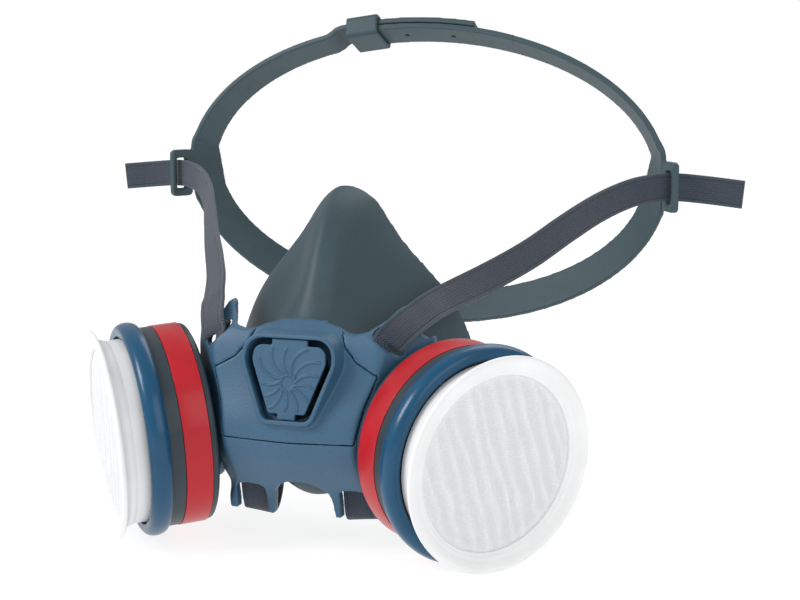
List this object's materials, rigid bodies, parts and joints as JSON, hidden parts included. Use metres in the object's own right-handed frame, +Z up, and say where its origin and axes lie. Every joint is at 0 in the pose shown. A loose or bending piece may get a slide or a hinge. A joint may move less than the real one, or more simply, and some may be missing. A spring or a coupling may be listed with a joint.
{
  "type": "half mask respirator",
  "caption": "Rubber half mask with a rigid front carrier, exhaust valve cover, side filter cartridges on bayonets, head cradle on elastic straps and a neck strap.",
  "frame": {"origin": "middle of the face opening, on the mask's plane of symmetry", "axes": "+Z up, -Y the way the wearer looks, +X the wearer's left"},
  "size_m": [0.3174, 0.23, 0.2216],
  "materials": {
    "mask_rubber": "matte, soft moulded",
    "cradle_rubber": "matte, soft moulded",
    "valve_rubber": "satin",
    "carrier_plastic": "fine speckled grain",
    "accent_plastic": "glossy",
    "case_plastic": "semi-gloss",
    "label_red": "glossy printed band",
    "port_plastic": "matte",
    "prefilter_plastic": "satin white",
    "filter_web": "fuzzy nonwoven",
    "carbon": "granular",
    "webbing": "woven rib elastic"
  },
  "bodies": {
    "mask": {"facepiece": "mask_rubber", "front_carrier": "carrier_plastic", "valve_cover": "carrier_plastic", "swirl_shield": "carrier_plastic", "exhale_seat": "port_plastic", "left_port_ring": "port_plastic", "right_port_ring": "port_plastic", "left_port_gasket": "valve_rubber", "right_port_gasket": "valve_rubber", "left_inhale_seat": "port_plastic", "right_inhale_seat": "port_plastic", "left_strap_anchor": "webbing", "right_strap_anchor": "webbing", "left_neck_hanger": "webbing", "right_neck_hanger": "webbing"},
    "exhale_flap": {"exhale_disc": "valve_rubber"},
    "left_inhale_flap": {"left_inhale_disc": "valve_rubber"},
    "right_inhale_flap": {"right_inhale_disc": "valve_rubber"},
    "harness": {"left_upper_strap": "webbing", "right_upper_strap": "webbing"},
    "cradle": {"left_cradle_side": "cradle_rubber", "right_cradle_side": "cradle_rubber", "left_crown_strap": "cradle_rubber", "right_crown_strap": "cradle_rubber", "crown_keeper": "cradle_rubber", "crown_stud": "cradle_rubber", "rear_strap": "cradle_rubber"},
    "neck_loop": {"left_neck_strap": "webbing", "right_neck_strap": "webbing", "neck_hook": "port_plastic", "neck_eye": "port_plastic"},
    "left_cartridge": {"left_cartridge_base": "case_plastic", "left_cartridge_case": "case_plastic", "left_label_band": "label_red", "left_accent_ring": "accent_plastic", "left_carbon_bed": "carbon", "left_rear_screen": "filter_web", "left_front_screen": "filter_web"},
    "left_prefilter": {"left_prefilter_rim": "prefilter_plastic", "left_prefilter_pleats": "filter_web", "left_prefilter_web": "filter_web"},
    "right_cartridge": {"right_cartridge_base": "case_plastic", "right_cartridge_case": "case_plastic", "right_label_band": "label_red", "right_accent_ring": "accent_plastic", "right_carbon_bed": "carbon", "right_rear_screen": "filter_web", "right_front_screen": "filter_web"},
    "right_prefilter": {"right_prefilter_rim": "prefilter_plastic", "right_prefilter_pleats": "filter_web", "right_prefilter_web": "filter_web"}
  },
  "joints": [
    {"name": "left_cartridge_twist", "type": "hinge", "parent": "mask", "child": "left_cartridge", "pos_m": [0.0553, -0.0467, -0.0375], "axis": [-0.7936, 0.6024, 0.0854], "range_deg": [0, 40]},
    {"name": "left_prefilter_twist", "type": "hinge", "parent": "left_cartridge", "child": "left_prefilter", "pos_m": [0.0553, -0.0467, -0.0375], "axis": [-0.7936, 0.6024, 0.0854], "range_deg": [0, 30]},
    {"name": "left_inhale_lift", "type": "slide", "parent": "mask", "child": "left_inhale_flap", "axis": [-0.7936, 0.6024, 0.0854], "range_m": [0, 0.001], "stiffness_N_per_m": 20},
    {"name": "right_cartridge_twist", "type": "hinge", "parent": "mask", "child": "right_cartridge", "pos_m": [-0.0553, -0.0467, -0.0375], "axis": [-0.7936, -0.6024, -0.0854], "range_deg": [0, 40]},
    {"name": "right_prefilter_twist", "type": "hinge", "parent": "right_cartridge", "child": "right_prefilter", "pos_m": [-0.0553, -0.0467, -0.0375], "axis": [-0.7936, -0.6024, -0.0854], "range_deg": [0, 30]},
    {"name": "right_inhale_lift", "type": "slide", "parent": "mask", "child": "right_inhale_flap", "axis": [0.7936, 0.6024, 0.0854], "range_m": [0, 0.001], "stiffness_N_per_m": 20},
    {"name": "exhale_lift", "type": "slide", "parent": "mask", "child": "exhale_flap", "axis": [0, -1, 0], "range_m": [0, 0.0012], "stiffness_N_per_m": 20},
    {"name": "harness_swing", "type": "hinge", "parent": "mask", "child": "harness", "pos_m": [0, -0.0494, 0.013], "axis": [1, 0, 0], "range_deg": [0, 60]},
    {"name": "cradle_tilt", "type": "hinge", "parent": "harness", "child": "cradle", "pos_m": [0, 0.0934, 0.056], "axis": [1, 0, 0], "range_deg": [0, 6]},
    {"name": "neck_swing", "type": "hinge", "parent": "mask", "child": "neck_loop", "pos_m": [0, -0.0544, -0.072], "axis": [-1, 0, 0], "range_deg": [0, 40], "stiffness_Nm_per_rad": 0.3}
  ]
}
